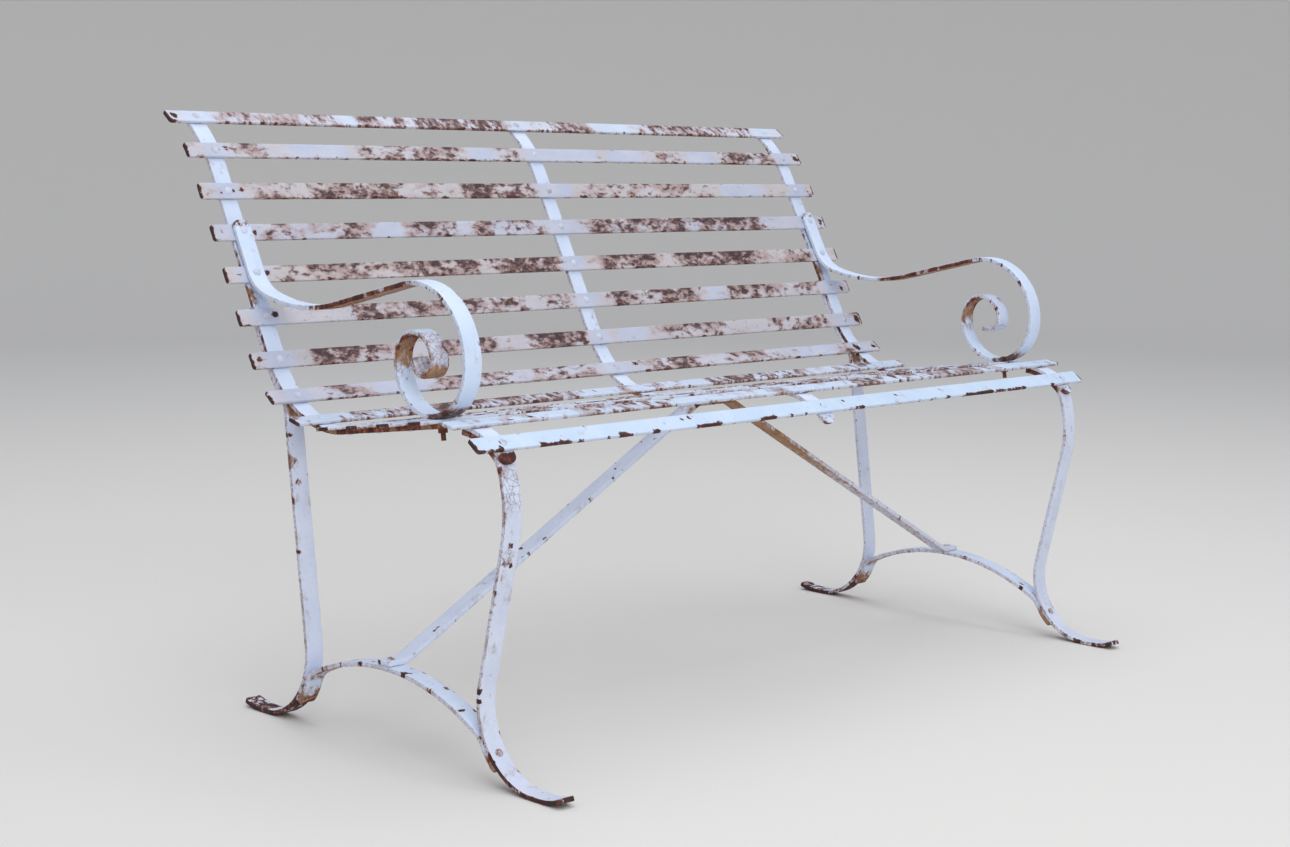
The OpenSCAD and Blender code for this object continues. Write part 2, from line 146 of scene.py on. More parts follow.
bm = bmesh.new()
rim = bm.verts.new((FLOOR_R, 0, 0))
middle = bm.verts.new((0, 0, 0))
bm.edges.new((middle, rim))
bmesh.ops.spin(bm, geom=[rim], cent=(FLOOR_R, 0, SWEEP_R), axis=(0, -1, 0), angle=QUARTER,
               steps=SWEEP_STEPS)
top = max(bm.verts, key=lambda v: v.co.x)
wall = bmesh.ops.extrude_vert_indiv(bm, verts=[top])["verts"]
bmesh.ops.translate(bm, verts=wall, vec=(0, 0, WALL_TOP - SWEEP_R))
bmesh.ops.spin(bm, geom=bm.verts[:] + bm.edges[:], cent=(0, 0, 0), axis=(0, 0, 1),
               angle=FULL_TURN, steps=ROUND_STEPS, use_merge=True)
bmesh.ops.remove_doubles(bm, verts=bm.verts, dist=MM)
bmesh.ops.recalc_face_normals(bm, faces=bm.faces)
bmesh.ops.reverse_faces(bm, faces=bm.faces)
for face in bm.faces:
    face.smooth = True
studio_mesh = bpy.data.meshes.new("studio")
bm.to_mesh(studio_mesh)
bm.free()
studio = bpy.data.objects.new("studio", studio_mesh)
bpy.context.scene.collection.objects.link(studio)

backdrop, tree, surface = new_material("matt_backdrop_paper")
place = add(tree, "TexCoord", {}, {}).outputs["Object"]
grain = add(tree, "TexNoise", {}, {"Vector": place, "Scale": 1 / PAPER_GRAIN, "Detail": 2.0}).outputs[0]
tone = blend(tree, grain, "#E2E0DC", "#E6E4E0")
cover(tree, surface, tone, rough=0.9)
studio.data.materials.append(backdrop)
print("studio bowl", len(studio_mesh.polygons), "faces")

# %% [markdown]
# Light on the real bench is open shade: bright and even from above and in front, with soft shadows
# under the bars. Two large area lamps and a pale world give that. The front lamp's light fans out
# less than a bare lamp's would, so that the floor below it doesn't burn out to white. The strengths
# are set so that pale paint facing the front lamp comes out about as it is written.

# %% Light
BENCH_MIDDLE = Vector((0.0, 0.0, 0.4))


def area_lamp(name, place, size, power, fan):
    """A square soft lamp that points at the bench and whose light fans out by an angle in degrees."""
    data = bpy.data.lights.new(name, "AREA")
    data.size = size
    data.energy = power
    data.spread = math.radians(fan)
    lamp = bpy.data.objects.new(name, data)
    way = BENCH_MIDDLE - Vector(place)
    lamp.matrix_world = Matrix.Translation(place) @ way.to_track_quat("-Z", "Y").to_matrix().to_4x4()
    bpy.context.scene.collection.objects.link(lamp)


area_lamp("front_lamp", place=(-1.8, -3.2, 2.4), size=3.0, power=33.0, fan=110)
area_lamp("top_lamp", place=(0.4, 0.2, 4.2), size=3.5, power=66.0, fan=180)

world = bpy.data.worlds.new("pale_sky")
bpy.context.scene.world = world
world.use_nodes = True
world.node_tree.nodes.clear()
sky = add(world.node_tree, "Background", {}, {"Color": colour("#F2F6FF"), "Strength": 0.55})
add(world.node_tree, "OutputWorld", {}, {"Surface": sky.outputs[0]})
bpy.context.scene.view_settings.view_transform = "Standard"
print("two lamps and a sky")

# %% [markdown]
# Every bar of the bench is the same kind of shape: a flat bar with rounded arrises, bent in one
# plane. Its CAD node gives the bends. The node's flat side is an outline that runs along one face
# of the bar and back along the other, so its points pair up into the rungs of a ladder. Reading the
# ladder off the node keeps the new bar exactly where the old one is.

# %% The ladder along a bar
MERGE = 0.01 * MM
STRAP_SPACING = 2 * MM


def ladder(node, side_axis):
    """Pairs of points along a bent bar from its lower end, one on each face, off a CAD node's flat side."""
    bm = bmesh.new()
    bm.from_mesh(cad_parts[node].data)
    bmesh.ops.remove_doubles(bm, verts=bm.verts, dist=MERGE)
    side = min(v.co[side_axis] for v in bm.verts) + MERGE
    others = [f for f in bm.faces if any(v.co[side_axis] > side for v in f.verts)]
    bmesh.ops.delete(bm, geom=others, context="FACES")
    outline = bmesh.ops.dissolve_faces(bm, faces=bm.faces[:])["region"][0]
    points = [loop.vert.co.copy() for loop in outline.loops]
    bm.free()
    half = len(points) // 2

    def pairs(start):
        round_trip = points[start:] + points[:start]
        return list(zip(round_trip[:half], reversed(round_trip[half:])))

    def unevenness(start):
        gaps = [(a - b).length for a, b in pairs(start)]
        return max(gaps) - min(gaps)

    best = pairs(min(range(half), key=unevenness))
    return best if best[0][0].z < best[-1][0].z else best[::-1]


def even_rungs(pairs, spacing):
    """The same ladder with its rungs about one spacing apart."""
    middles = [(a + b) / 2 for a, b in pairs]
    reach = [0.0]
    for p, q in zip(middles, middles[1:]):
        reach.append(reach[-1] + (q - p).length)
    count = round(reach[-1] / spacing)
    rungs = []
    i = 0
    for k in range(count + 1):
        s = reach[-1] * k / count
        while i < len(pairs) - 2 and reach[i + 1] < s:
            i += 1
        share = (s - reach[i]) / (reach[i + 1] - reach[i])
        rungs.append([p.lerp(q, share) for p, q in zip(pairs[i], pairs[i + 1])])
    return rungs


rail_pairs = ladder("left_rail", 0)
print("left_rail:", len(rail_pairs), "pairs,", len(even_rungs(rail_pairs, STRAP_SPACING)), "rungs")

# %% [markdown]
# A bar grows out of its first rung as it would out of a rolling mill: the rung is extruded from one
# place to the next, and the strip is then extruded sideways to the bar's width. Bevelled corners and
# arrises follow, and a few cuts across the width, which give the paint its places to wear. A curve
# with a bevel profile would give the same form, but not the rounded corners at the ends.

# %% Roll a bar
SHARP = math.radians(60)
STRAP_ARRIS = 1.2 * MM
SLAT_ARRIS = 0.9 * MM
ARRIS_STEPS = 3
CORNER_STEPS = 4
CUTS_ACROSS = 5


def bevel(bm, edges, offset, segments):
    """Rounds edges."""
    bmesh.ops.bevel(bm, geom=edges, offset=offset, offset_type="OFFSET", segments=segments,
                    profile=0.5, affect="EDGES", material=-1, clamp_overlap=True)


def roll_bar(rungs, width, arris, corner=0.0):
    """A closed bar: rungs along its thickness, then its width as a vector."""
    bm = bmesh.new()
    edge = bm.edges.new([bm.verts.new(p) for p in rungs[0]])
    for last, rung in zip(rungs, rungs[1:]):
        grown = bmesh.ops.extrude_edge_only(bm, edges=[edge])["geom"]
        ends = [g for g in grown if isinstance(g, bmesh.types.BMVert)]
        for vert in ends:
            vert.co = rung[0] if (vert.co - last[0]).length < MERGE else rung[1]
        edge = bm.edges.get(ends)
    side = bmesh.ops.extrude_face_region(bm, geom=bm.faces[:])["geom"]
    bmesh.ops.translate(bm, verts=[g for g in side if isinstance(g, bmesh.types.BMVert)], vec=width)
    bmesh.ops.recalc_face_normals(bm, faces=bm.faces)
    if corner:
        upright = [e for e in bm.edges if e.calc_face_angle() > SHARP and len(e.link_faces) == 2
                   and all(abs(f.normal.dot(rungs[0][1] - rungs[0][0])) < MERGE for f in e.link_faces)]
        bevel(bm, upright, corner, CORNER_STEPS)
    bevel(bm, [e for e in bm.edges if e.calc_face_angle() > SHARP], arris, ARRIS_STEPS)
    across = width.normalized()
    broad = [e for e in bm.edges if abs((e.verts[0].co - e.verts[1].co).dot(across)) > width.length / 2]
    bmesh.ops.subdivide_edges(bm, edges=broad, cuts=CUTS_ACROSS, use_grid_fill=True)
    return bm


print("arrises of", STRAP_ARRIS / MM, "mm on straps and", SLAT_ARRIS / MM, "mm on slats")

# %% [markdown]
# Hand-bent bar that has been painted many times is never quite flat. Each point is moved inwards by
# a slow wave and, along the arrises, by small nicks, so that light runs unevenly along a bar as it
# does on the real one. Moving only inwards keeps the bench inside its measured box. A Displace
# modifier could do it with a texture, but it can't tell an arris from a face.

# %% Dents and nicks
WAVE_LEN = 45 * MM
WAVE_DEPTH = 0.25 * MM
NICK_LEN = 7 * MM
NICK_DEPTH = 0.5 * MM
NICK_FROM = 0.1
ROUND = math.radians(12)
SEED_STEPS = (3.7, 1.9, 5.3)


def dent(bm, seed):
    """Moves a bar's points inwards by waves, and its arrises by nicks as well."""
    bm.normal_update()
    shift = Vector([seed * step for step in SEED_STEPS])
    moves = []
    for vert in bm.verts:
        wave = 0.5 + 0.5 * noise.noise(vert.co / WAVE_LEN + shift)
        nick = max(0.0, noise.noise(vert.co / NICK_LEN + shift) - NICK_FROM)
        bend = max(e.calc_face_angle() for e in vert.link_edges)
        moves.append(WAVE_DEPTH * wave + (NICK_DEPTH * nick if bend > ROUND else 0.0))
    for vert, depth in zip(bm.verts, moves):
        vert.co -= vert.normal * depth


print("dents up to", (WAVE_DEPTH + NICK_DEPTH) / MM, "mm deep")

# %% [markdown]
# Wear follows the bar: paint leaves the arrises and the cut ends first, rust creeps over lower edges
# and undersides, and hands keep the arms clean. So each point of a bar is told where it lies: how far
# along, which face, how far across, and how near an arris. Rules in later cells turn that into four
# numbers, which the paint's material reads back as attributes of the mesh.

# %% Where a point lies on its bar
Spot = namedtuple("Spot", "place facing along left face across edge")
EDGE_FADE = 1.4 * MM


def spots(bm, rungs, width):
    """Where each point of a bar lies. face and across run from -1 to 1, and edge is 1 on an arris."""
    bm.normal_update()
    middles = [(a + b + width) / 2 for a, b in rungs]
    tree = kdtree.KDTree(len(middles))
    for i, middle in enumerate(middles):
        tree.insert(middle, i)
    tree.balance()
    pitch = (middles[1] - middles[0]).length
    length = pitch * (len(middles) - 1)
    thick = (rungs[0][1] - rungs[0][0]).length
    found = []
    for vert in bm.verts:
        middle, i, _ = tree.find(vert.co)
        off = vert.co - middle
        way = (middles[min(i + 1, len(middles) - 1)] - middles[max(i - 1, 0)]).normalized()
        face = 2 * off.dot(rungs[i][1] - rungs[i][0]) / thick**2
        across = 2 * off.dot(width) / width.length_squared
        inset = max((1 - abs(across)) * width.length / 2, (1 - abs(face)) * thick / 2)
        along = min(max(i * pitch + off.dot(way), 0.0), length)
        left = length - along
        edge = math.exp(-max(0.0, min(inset, along, left)) / EDGE_FADE)
        found.append(Spot(vert.co.copy(), vert.normal.copy(), along, left, face, across, edge))
    return found


print("a point knows its", ", ".join(Spot._fields))

# %% [markdown]
# The rules are built from a few soft shapes: a step, a run with two soft borders, a round blot, and
# chips that noise strews over arrises and faces. Smooth steps matter, because worn paint never ends
# at a ruled line. The noise is the same each time, and a seed takes each bar to a place of its own.

# %% Soft shapes
BLOT_CORE = 0.4
DOT_LEN = 10 * MM
DOT_ROWS = 7.3
DOT_SIDES = 3.1
DOT_FROM = 0.5
DOT_FULL = 0.6
DOT_GAIN = 1.2
POCK_LEN = 11 * MM
POCK_ROWS = 4.1
POCKS_ACROSS = 2.1
POCK_RANGE = (0.5, 0.58)


def fade(value, low, high):
    """0 at or below low, 1 at or above high, and smooth between them; low may be the larger."""
    share = min(1.0, max(0.0, (value - low) / (high - low)))
    return share * share * (3 - 2 * share)


def fade_mm(value, low, high):
    """The same between two lengths in millimetres."""
    return fade(value, low * MM, high * MM)


def stretch(value, low, high, soft):
    """1 from low to high, fading out over a soft border on both sides."""
    return fade(value, low - soft, low + soft) * fade(value, high + soft, high - soft)


def blot(away, radius):
    """1 in the core of a round mark, and 0 from its radius on."""
    return fade(away, radius, BLOT_CORE * radius)


def ripple(along, lump, across, row=0.5):
    """Noise from about -1 to 1, in lumps of a length, that changes across a bar and from row to row."""
    return noise.noise(Vector((along / lump, across, row)))


def dots(spot, seed, share):
    """Small chips along the arrises of a bar, which bare about a share of their length."""
    height = ripple(spot.along, DOT_LEN, seed * DOT_ROWS + DOT_SIDES * round(spot.across))
    return spot.edge * fade(height, DOT_FROM - DOT_GAIN * share, DOT_FULL - DOT_GAIN * share)


def pocks(spot, seed):
    """Single small chips on the faces of a bar, from 0 to 1."""
    return fade(ripple(spot.along, POCK_LEN, POCKS_ACROSS * spot.across, seed * POCK_ROWS), *POCK_RANGE)


print("a quarter of the way up a soft step:", fade(1, 0, 4))

# %% [markdown]
# The smith has rounded the ends that a hand or a foot could catch on: the rails' front ends nearly to
# a half circle, the arms' upper ends, the toes. The bar's two sides are drawn in towards such an end
# along a circle. Bevelling the two corners would do it too, but the rungs stand closer together than
# the bevel is wide.

# %% Round an end
def round_ends(bm, found, width, radii):
    """Draws a bar's sides in, so that its lower and its upper end are rounded to two radii."""
    for vert, spot in zip(bm.verts, found):
        for reach, radius in zip((spot.along, spot.left), radii):
            if reach < radius:
                taken = radius - math.sqrt(radius**2 - (radius - reach) ** 2)
                vert.co -= width.normalized() * spot.across * taken


print("a bar's ends are rounded before it is dented")

# %% [markdown]
# A finished mesh becomes an object that moves with the bench, stands for its CAD node and takes the
# material it is given. The wear numbers go on as attributes: chip is how much bare rusted iron shows,
# stain how much brown has crept over the paint, ochre how orange the rust is, and fresh how much of
# the newest, bluish coat is left.

# %% Make a piece
WEAR = ("chip", "stain", "ochre", "fresh")


def make_piece(bm, node, material, wear):
    """An object that replaces a CAD node, with the wear numbers of each of its points."""
    for face in bm.faces:
        face.smooth = True
    mesh = bpy.data.meshes.new("worn_" + node)
    bm.to_mesh(mesh)
    bm.free()
    for name, values in zip(WEAR, zip(*wear)):
        kept = [min(1.0, max(0.0, v)) for v in values]
        mesh.attributes.new(name, "FLOAT", "POINT").data.foreach_set("value", kept)
    piece = bpy.data.objects.new("worn_" + node, mesh)
    bpy.context.scene.collection.objects.link(piece)
    mesh.materials.append(material)
    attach(piece, "root")
    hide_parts(node)


print("wear numbers of a point:", ", ".join(WEAR))

# %% [markdown]
# The finish is oil enamel, brushed on by hand over older coats, on mild steel that has rusted. One
# recipe serves all bars: noise is compared with the wear numbers, so that a higher number bares more.
# It takes noise of several sizes, from patches of a few centimetres down to pores of a millimetre.
# A grain draws the larger ones out along or across a bar, as the brush and the rolling mill did. A
# painted image would first have to be unwrapped round every bend, and noise in space needs no map.

# %% Noise for the paint
NOISE_SPAN = (0.31, 0.69)
UNEVEN = (0.65, 1.25)
Noises = namedtuple("Noises", "place regions uneven drift flakes bleeds specks pores")


def maths(tree, operation, *values):
    """The result of a Math node."""
    return add(tree, "Math", {"operation": operation}, dict(enumerate(values))).outputs[0]


def between(tree, share, low, high):
    """A number between two others, by a share."""
    return add(tree, "Mix", {}, {0: share, 2: low, 3: high}).outputs[0]


def remap(tree, value, low, high, to_low=0.0, to_high=1.0, kind="LINEAR"):
    """A number brought from one range to another, and held inside it."""
    ends = {"From Min": low, "From Max": high, "To Min": to_low, "To Max": to_high}
    return add(tree, "MapRange", {"interpolation_type": kind}, {"Value": value, **ends}).outputs[0]


def cloud(tree, vector, size, detail, roughness):
    """Noise that spreads from 0 to 1, in lumps of a size."""
    lumps = add(tree, "TexNoise", {},
                {"Vector": vector, "Scale": 1 / size, "Detail": detail, "Roughness": roughness})
    return remap(tree, lumps.outputs[0], *NOISE_SPAN)


def paint_noises(tree, grain):
    """The noises of a paint, with the larger ones drawn out by a grain."""
    place = add(tree, "TexCoord", {}, {}).outputs["Object"]
    drawn = add(tree, "Mapping", {}, {"Vector": place, "Scale": grain}).outputs[0]
    regions = cloud(tree, drawn, 28 * MM, 3.0, 0.5)
    return Noises(
        place=place,
        regions=regions,
        uneven=remap(tree, regions, 0.0, 1.0, *UNEVEN),
        drift=cloud(tree, drawn, 35 * MM, 4.0, 0.55),
        flakes=cloud(tree, drawn, 7 * MM, 6.0, 0.62),
        bleeds=cloud(tree, drawn, 8.5 * MM, 6.0, 0.62),
        specks=cloud(tree, place, 1.6 * MM, 3.0, 0.5),
        pores=cloud(tree, place, 1.1 * MM, 2.0, 0.5),
    )


print("patterns of the paint:", ", ".join(Noises._fields[1:]))

# %% [markdown]
# The eye sees a cool white where the newest coat is left, and a pinkish older coat beside it. Pores
# hold dirt, most of all in the older one. Where the straps' paint has begun to stain, it has also
# cracked into small cells: a Voronoi texture gives the distance to the nearest border of a cell, and
# noise bends the borders.

# %% Coats and dirt
Worn = namedtuple("Worn", WEAR)
DIRT = "#7A6E72"
PORE_RANGE = (0.84, 0.98)
PORE_DIRT = 0.7
NEWEST_DIRT = 0.25
CRACK_CELL = 8 * MM
CRACK_BEND = 6 * MM
CRACK_WIDTH = (0.07, 0.02)
CRACK_STAIN = (0.12, 0.3)


def paint_coats(tree, noises, worn, coats, crazing):
    """The colour of the coats and where they hold dirt, from two tones of each and a share of cracks."""
    older = blend(tree, noises.drift, *coats[:2])
    newest = blend(tree, noises.drift, *coats[2:])
    coat = blend(tree, worn.fresh, older, newest)
    held = remap(tree, noises.pores, *PORE_RANGE, 0.0, PORE_DIRT)
    porous = maths(tree, "MULTIPLY", held, remap(tree, worn.fresh, 0.0, 1.0, 1.0, NEWEST_DIRT))
    wobble = add(tree, "TexNoise", {}, {"Vector": noises.place, "Scale": 1 / CRACK_BEND}).outputs["Color"]
    bent = add(tree, "VectorMath", {"operation": "MULTIPLY_ADD"},
               {0: wobble, 1: [CRACK_BEND] * 3, 2: noises.place}).outputs[0]
    cells = add(tree, "TexVoronoi", {"feature": "DISTANCE_TO_EDGE"},
                {"Vector": bent, "Scale": 1 / CRACK_CELL}).outputs["Distance"]
    cracked = remap(tree, worn.stain, *CRACK_STAIN, 0.0, crazing)
    dirt = maths(tree, "MAXIMUM", porous, remap(tree, cells, *CRACK_WIDTH, 0.0, cracked))
    return blend(tree, dirt, coat, DIRT), dirt


print("pores and cracks in", DIRT)

# %% [markdown]
# Brown bleeds through the paint in three layers, one over the other: a soft pink wash, freckles, and
# their dark cores. Each begins at a higher sum of noise and stain, so that the cores lie inside the
# freckles. Thin orange rust then washes over them, where water has run.

# %% Stains
WASH = (-0.3, 0.2, 0.72, "#A48882")
FRECKLES = (-0.05, 0.27, 0.86, "#705253")
CORES = (0.15, 0.42, 0.92, "#3A272D")
WASH_SOFTNESS = 0.55
ORANGE_GAIN = 1.4
ORANGE_RANGE = (-0.15, 0.45, 0.0, 0.92)
ORANGE_RUST = ("#774321", "#B08448")


def stain_paint(tree, noises, worn, coat):
    """A coat with brown stains and orange rust on it."""
    stained = maths(tree, "MULTIPLY_ADD", worn.stain, noises.uneven, -1.0)
    seeping = maths(tree, "ADD", noises.bleeds, stained)
    softer = between(tree, WASH_SOFTNESS, noises.bleeds, noises.regions)
    soaking = maths(tree, "ADD", softer, stained)
    for source, (low, high, most, tone) in ((soaking, WASH), (seeping, FRECKLES), (seeping, CORES)):
        coat = blend(tree, remap(tree, source, low, high, 0.0, most, "SMOOTHSTEP"), coat, tone)
    soaked = maths(tree, "MULTIPLY_ADD", worn.ochre, ORANGE_GAIN, -1.0)
    washed = remap(tree, maths(tree, "ADD", noises.bleeds, soaked), *ORANGE_RANGE, "SMOOTHSTEP")
    return blend(tree, washed, coat, blend(tree, noises.flakes, *ORANGE_RUST))


print("browns:", WASH[-1], FRECKLES[-1], CORES[-1])

# %% [markdown]
# Chips go down to the iron. Their edges are ragged, because coarse and fine noise are both added to
# the chip number. Just short of a chip the paint has a brown rim, and the maroon rust inside it is
# darkest in the middle, where the paint went first.

# %% Chips
CHIP_RIM = "#A88A80"
MAROON = ("#43272A", "#704037")
RED_RUST = "#8A4729"
DEEP_RUST = "#2B1F20"
CHIP_RAGGED = 0.25
CHIP_FROM = -1.02
RIM_RANGE = (-0.16, 0.0, 0.0, 0.45)
DEEP_RANGE = (0.12, 0.45, 0.0, 0.8)
BARE_RANGE = (0.0, 0.05)


def chip_paint(tree, noises, worn, coat):
    """The colour of a chipped coat, and where it is bare."""
    ragged = between(tree, CHIP_RAGGED, noises.flakes, noises.specks)
    over = maths(tree, "ADD", ragged, maths(tree, "MULTIPLY_ADD", worn.chip, noises.uneven, CHIP_FROM))
    rimmed = blend(tree, remap(tree, over, *RIM_RANGE, "SMOOTHSTEP"), coat, CHIP_RIM)
    redder = blend(tree, worn.ochre, blend(tree, noises.specks, *MAROON), RED_RUST)
    rust = blend(tree, remap(tree, over, *DEEP_RANGE), redder, DEEP_RUST)
    bare = remap(tree, over, *BARE_RANGE, kind="SMOOTHSTEP")
    return blend(tree, bare, rimmed, rust), bare


print("rust from", MAROON[1], "to", DEEP_RUST)

# %% [markdown]
# The paint film stands a little proud of the rust, which a Bump node shows, and bare rust is duller
# than paint. Three finishes come out of the recipe, for straps, seat slats and back slats. They differ
# in their grain, in the tones of their coats, and in how far they have cracked.

# %% Three enamels
FILM = 0.3 * MM
PAINT_ROUGHNESS = (0.56, 0.7)
RUST_ROUGHNESS = 0.92
FILM_GRAIN = 0.25
DIRT_DEPTH = -0.4
RUST_GRAIN = 0.6


def chipped_enamel(name, grain, coats, crazing):
    """Brushed enamel that has stained, cracked and chipped over rusted iron."""
    material, tree, surface = new_material(name)
    noises = paint_noises(tree, grain)
    worn = Worn(*[add(tree, "Attribute", {"attribute_name": n}, {}).outputs["Fac"] for n in WEAR])
    coat, dirt = paint_coats(tree, noises, worn, coats, crazing)
    skin, bare = chip_paint(tree, noises, worn, stain_paint(tree, noises, worn, coat))
    gloss = remap(tree, noises.drift, 0.0, 1.0, *PAINT_ROUGHNESS)
    rough = between(tree, bare, gloss, RUST_ROUGHNESS)
    film = maths(tree, "MULTIPLY_ADD", noises.flakes, FILM_GRAIN, 1.0)
    pitted = maths(tree, "MULTIPLY_ADD", dirt, DIRT_DEPTH, film)
    height = between(tree, bare, pitted, maths(tree, "MULTIPLY", noises.specks, RUST_GRAIN))
    bump = add(tree, "Bump", {}, {"Strength": 0.7, "Distance": FILM, "Height": height}).outputs[0]
    cover(tree, surface, skin, rough, Normal=bump)
    return material


STRAP_COATS = ("#CEC9D7", "#D8D6E4", "#CBDBF4", "#D5E4F9")
SEAT_COATS = ("#C6C0CA", "#D0D0DE", "#C1D5ED", "#CBDCF2")
BACK_COATS = ("#C4B9B3", "#C8C1C4", "#AEBEDF", "#C2CADE")
strap_enamel = chipped_enamel("chipped_enamel_on_straps", (1.0, 1.0, 0.7), STRAP_COATS, crazing=0.7)
seat_enamel = chipped_enamel("dotted_enamel_on_seat", (0.9, 0.6, 0.6), SEAT_COATS, crazing=0.0)
back_enamel = chipped_enamel("stained_enamel_on_back", (0.6, 1.0, 1.0), BACK_COATS, crazing=0.0)
print("three enamels of", len(back_enamel.node_tree.nodes), "nodes")

# %% [markdown]
# The slats are hot-rolled flat bar, cut to length, with their corners just taken off. Each is rolled
# from a straight ladder along its CAD node: the node's broad face tells which way is out, and its
# farthest points tell where the bar begins and ends.

# %% Rungs of a slat
SLAT_SPACING = 4.6 * MM
X_AXIS = Vector((1, 0, 0))


def slat_rungs(node):
    """Rungs along a slat and its width as a vector, from the CAD node's broad face."""
    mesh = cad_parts[node].data
    out = max(mesh.polygons, key=lambda p: p.area).normal.copy()
    if out.z < 0:
        out.negate()
    across = out.cross(X_AXIS)
    low, high = [], []
    for way in (X_AXIS, across, out):
        reach = [v.co.dot(way) for v in mesh.vertices]
        low.append(min(reach))
        high.append(max(reach))
    start = X_AXIS * low[0] + across * low[1] + out * low[2]
    end = start + X_AXIS * (high[0] - low[0])
    thick = out * (high[2] - low[2])
    pairs = [(start, start + thick), (end, end + thick)]
    return even_rungs(pairs, SLAT_SPACING), across * (high[1] - low[1])


print("a slat has", len(slat_rungs("back_slat_1")[0]), "rungs")

# %% [markdown]
# What each slat has been through is written down as a table, the way a restorer notes a survey before
# work starts. One row for each slat: how much of the newest coat is left, how dark its lower edge is,
# its clusters of rust (from, to and how strong) and its runs of clean paint, both in centimetres from
# the bench's middle, and single chips (millimetres from there, place across from -1 to 1, radius).

# %% Survey of the slats
CM = 10 * MM
Survey = namedtuple("Survey", "fresh line clusters clean chips", defaults=([], []))
SURVEY = {
    "back_slat_1": Survey(
        0.3, 0.4, [(-52, -42, 0.35), (-40, -26, 0.6), (-24, -1, 0.75), (6, 15, 0.6), (26, 54, 0.6)],
        [(-33, -30), (16, 25)], [(-598, 0, 8), (-60, -0.4, 6)]),
    "back_slat_2": Survey(
        0.35, 0.45, [(-54, -48, 0.5), (-33, -14, 0.6), (-8, -3, 0.45), (25, 32, 0.45), (40, 55, 0.6)],
        [(-45, -35), (-13, -8), (2, 13), (15, 23), (33, 39)], [(-562, 0, 5), (-548, 0, 7), (598, 0, 10)]),
    "back_slat_3": Survey(
        0.2, 0.45,
        [(-54, -46, 0.45), (-44, -28, 0.75), (-26, -20, 0.5), (-17, 0, 0.8), (8, 36, 0.33), (57, 61, 0.5)],
        [(2, 5), (38, 48)], [(-578, -0.3, 5), (-560, 0, 5), (-545, 0, 6), (596, 0, 6)]),
    "back_slat_4": Survey(
        0.55, 0.15,
        [(-54, -48, 0.4), (-42, -36, 0.5), (-29, -20, 0.65), (-18, -4, 0.5), (6, 28, 0.65), (28, 46, 0.8)],
        [(-35, -30)], [(-546, 0, 6), (-595, 0.2, 4), (598, 0, 8)]),
    "back_slat_5": Survey(
        0.15, 0.15,
        [(-53, -34, 0.55), (-33, -18, 0.8), (-16, -2, 0.95), (6, 18, 0.75), (22, 42, 0.85), (48, 56, 0.65)],
        [], [(-588, 0, 6), (-546, 0.2, 8)]),
    "back_slat_6": Survey(
        0.3, 0.2,
        [(-44, -20, 0.7), (-18, -12, 0.65), (-9, -3, 0.6), (5, 24, 0.65), (31, 43, 0.65), (47, 53, 0.5)],
        [(26, 30)], [(-553, 0.2, 8), (590, -0.2, 8)]),
    "back_slat_7": Survey(
        0.3, 0.2,
        [(-52, -40, 0.85), (-32, -20, 0.6), (-14, -2, 0.85), (14, 28, 0.6), (38, 53, 0.55), (57, 61, 0.6)],
        [(4, 10)], [(-598, 0, 6), (-588, 0, 5), (598, 0, 9)]),
    "back_slat_8": Survey(
        0.5, 0.25,
        [(-52, -46, 0.65), (-34, -20, 0.55), (-16, -4, 0.6), (7, 18, 0.75), (24, 36, 0.6), (52, 58, 0.6)],
        [(-44, -36), (40, 50)], [(556, 0, 12), (598, 0, 8), (40, 0.3, 7)]),
    "seat_slat_1": Survey(
        0.75, 0.2, [(-60, -44, 0.5), (-44, -12, 0.65), (-4, 8, 0.5), (14, 36, 0.65), (44, 58, 0.6)],
        [], [(-500, 0, 5)]),
    "seat_slat_2": Survey(0.65, 0.25, [(-55, -20, 0.6), (-14, 2, 0.5), (5, 30, 0.6), (35, 55, 0.65)]),
    "seat_slat_3": Survey(0.6, 0.3, [(-50, -30, 0.5), (-26, -10, 0.6), (10, 28, 0.65), (34, 52, 0.6)]),
    "seat_slat_4": Survey(0.65, 0.3, [(-58, -30, 0.5), (-15, 20, 0.6), (30, 58, 0.6)]),
    "seat_slat_5": Survey(
        0.7, 0.3, [(-50, -25, 0.5), (-12, 0, 0.45), (6, 18, 0.6), (24, 50, 0.6)],
        [], [(-565, 0, 16), (565, 0, 16)]),
    "seat_slat_6": Survey(
        0.85, 0.12, [(-40, -24, 0.45), (-6, 2, 0.4), (10, 45, 0.5)],
        [(-62, -54)], [(-485, -0.3, 6), (-520, -0.6, 5)]),
    "seat_slat_7": Survey(
        1.0, 0.1, [],
        [], [(-255, 0.5, 6), (-268, 0.3, 4), (45, 0.4, 4), (160, 0.3, 4), (262, 0.4, 4)]),
}
FRONT_SLAT = "seat_slat_7"
FRONT_EDGE_CHIPS = [
    (-61, -57), (-51.6, -47.1), (-45.5, -44.9), (-38.8, -36.4), (-33.2, -31.6), (-25.4, -20.8),
    (-13.3, -10.2), (5.8, 7.9), (26.2, 27.3), (30.7, 37.8), (38.3, 45.7), (52.5, 53.5),
]
print("survey of", len(SURVEY), "slats")

# %% [markdown]
# A rule then turns a row of the table into wear numbers. A slat rusts on its underside, along its
# lower edge and at its cut ends. Its clusters are stronger higher on the bar, because water runs down
# from the upper edge, and beside the rails the paint lay thick and stayed white. The front slat alone
# has long chips along its lower edge, where legs have brushed it. Each kind of wear has a row of
# weights, which say how much of it goes into the chip, stain, ochre and fresh numbers.

